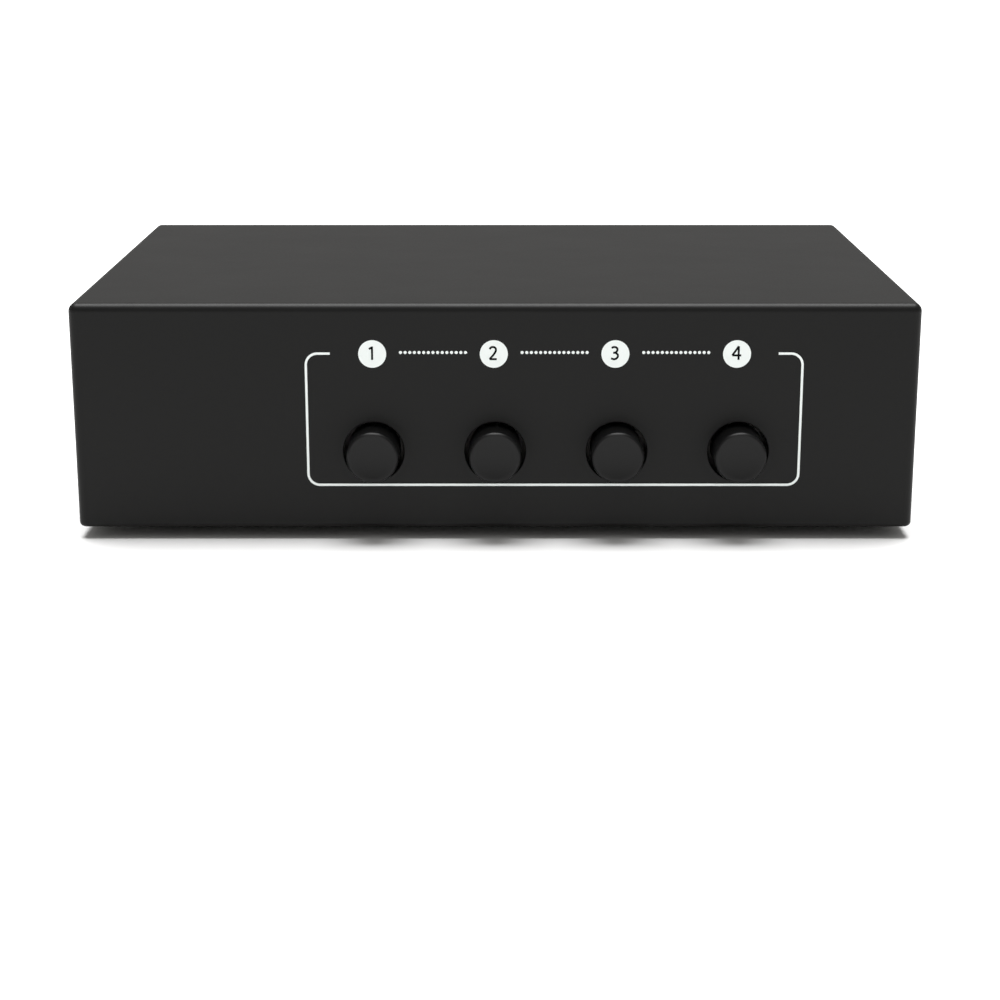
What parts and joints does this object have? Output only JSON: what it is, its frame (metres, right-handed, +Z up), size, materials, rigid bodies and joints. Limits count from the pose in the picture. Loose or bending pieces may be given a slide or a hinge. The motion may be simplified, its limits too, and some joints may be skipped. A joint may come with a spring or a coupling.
{
  "type": "audio source selector",
  "caption": "Flat black steel box that switches audio sources: interlocked push-buttons in front, phono and mini-jack sockets for each source and the output behind.",
  "frame": {"origin": "on the surface that the feet stand on, in the middle of the overall box", "axes": "+X to the right as seen from the front, +Y from the buttons to the sockets, +Z up"},
  "size_m": [0.14, 0.1054, 0.04],
  "materials": {
    "case_paint": "satin black powder coat with a fine even grain, printed in white",
    "foot_rubber": "matt black",
    "black_steel": "blackened steel",
    "plated_steel": "bright zinc plate",
    "board_laminate": "green solder mask on glass laminate",
    "spring_steel": "drawn wire",
    "contact_brass": "tinned brass",
    "button_plastic": "satin black",
    "slider_plastic": "natural acetal",
    "switch_plastic": "moulded",
    "socket_plastic": "moulded black",
    "shell_nickel": "bright nickel plate",
    "white_plastic": "moulded white",
    "red_plastic": "moulded red"
  },
  "bodies": {
    "root": {"cover": "case_paint", "base_tray": "case_paint", "feet": "foot_rubber", "case_screws": "black_steel", "panel_screws": "black_steel", "board_standoffs": "plated_steel", "board_screws": "plated_steel", "switch_frame": "plated_steel", "circuit_board": "board_laminate", "latch_spring": "spring_steel", "return_spring_1": "spring_steel", "return_spring_2": "spring_steel", "return_spring_3": "spring_steel", "return_spring_4": "spring_steel", "switch_pins": "contact_brass", "phono_contacts": "contact_brass", "jack_contacts": "contact_brass", "switch_body_1": "switch_plastic", "switch_body_2": "switch_plastic", "switch_body_3": "switch_plastic", "switch_body_4": "switch_plastic", "phono_housing_out": "socket_plastic", "phono_housing_1": "socket_plastic", "phono_housing_2": "socket_plastic", "phono_housing_3": "socket_plastic", "phono_housing_4": "socket_plastic", "jack_body_out": "socket_plastic", "jack_body_1": "socket_plastic", "jack_body_2": "socket_plastic", "jack_body_3": "socket_plastic", "jack_body_4": "socket_plastic", "phono_shells_out": "shell_nickel", "phono_shells_1": "shell_nickel", "phono_shells_2": "shell_nickel", "phono_shells_3": "shell_nickel", "phono_shells_4": "shell_nickel", "white_insert_out": "white_plastic", "white_insert_1": "white_plastic", "white_insert_2": "white_plastic", "white_insert_3": "white_plastic", "white_insert_4": "white_plastic", "red_insert_out": "red_plastic", "red_insert_1": "red_plastic", "red_insert_2": "red_plastic", "red_insert_3": "red_plastic", "red_insert_4": "red_plastic"},
    "push_button_1": {"button_1": "button_plastic", "plunger_1": "slider_plastic", "wiper_1": "contact_brass"},
    "push_button_2": {"button_2": "button_plastic", "plunger_2": "slider_plastic", "wiper_2": "contact_brass"},
    "push_button_3": {"button_3": "button_plastic", "plunger_3": "slider_plastic", "wiper_3": "contact_brass"},
    "push_button_4": {"button_4": "button_plastic", "plunger_4": "slider_plastic", "wiper_4": "contact_brass"},
    "latch": {"latch_bar": "plated_steel"}
  },
  "joints": [
    {"name": "button_1_press", "type": "slide", "parent": "root", "child": "push_button_1", "axis": [0, 1, 0], "range_m": [0, 0.003], "stiffness_N_per_m": 300, "springref_m": -0.003, "deforming": ["return_spring_1"]},
    {"name": "button_2_press", "type": "slide", "parent": "root", "child": "push_button_2", "axis": [0, 1, 0], "range_m": [0, 0.003], "stiffness_N_per_m": 300, "springref_m": -0.003, "deforming": ["return_spring_2"]},
    {"name": "button_3_press", "type": "slide", "parent": "root", "child": "push_button_3", "axis": [0, 1, 0], "range_m": [0, 0.003], "stiffness_N_per_m": 300, "springref_m": -0.003, "deforming": ["return_spring_3"]},
    {"name": "button_4_press", "type": "slide", "parent": "root", "child": "push_button_4", "axis": [0, 1, 0], "range_m": [0, 0.003], "stiffness_N_per_m": 300, "springref_m": -0.003, "deforming": ["return_spring_4"]},
    {"name": "latch_slide", "type": "slide", "parent": "root", "child": "latch", "axis": [-1, 0, 0], "range_m": [0, 0.0012], "stiffness_N_per_m": 200, "springref_m": -0.001, "deforming": ["latch_spring"]}
  ]
}
